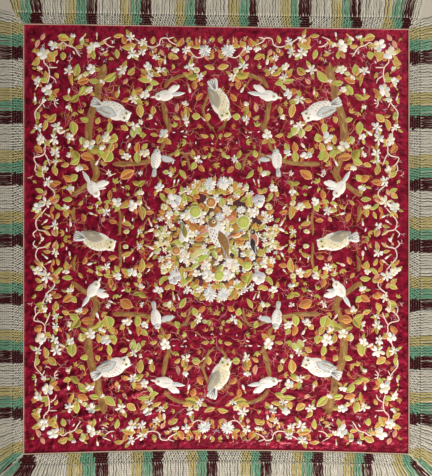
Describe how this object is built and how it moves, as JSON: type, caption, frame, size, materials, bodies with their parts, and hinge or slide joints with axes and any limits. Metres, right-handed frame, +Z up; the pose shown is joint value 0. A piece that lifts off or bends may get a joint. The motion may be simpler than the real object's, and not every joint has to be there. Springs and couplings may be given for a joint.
{
  "type": "silk bedspread",
  "caption": "Rectangular crimson silk bedspread lying flat, embroidered with birds, blossoms and leaves, with a narrow edge braid and a knotted striped fringe on every side.",
  "frame": {"origin": "on the floor under the middle of the whole bedspread, fringe included", "axes": "+Z up out of the embroidered face, +Y along the length towards the head end, +X across the width to the right as seen from above"},
  "size_m": [2.591, 2.826, 0.011],
  "materials": {
    "silk": "crimson silk satin with a soft sheen",
    "braid": "cream woven braid",
    "fringe": "knotted silk yarn in cream, yellow, green and maroon stripes"
  },
  "bodies": {
    "root": {"silk_panel": "silk", "edge_braid_foot": "braid", "edge_braid_right": "braid", "edge_braid_head": "braid", "edge_braid_left": "braid", "fringe_foot": "fringe", "fringe_right": "fringe", "fringe_head": "fringe", "fringe_left": "fringe"}
  },
  "joints": []
}
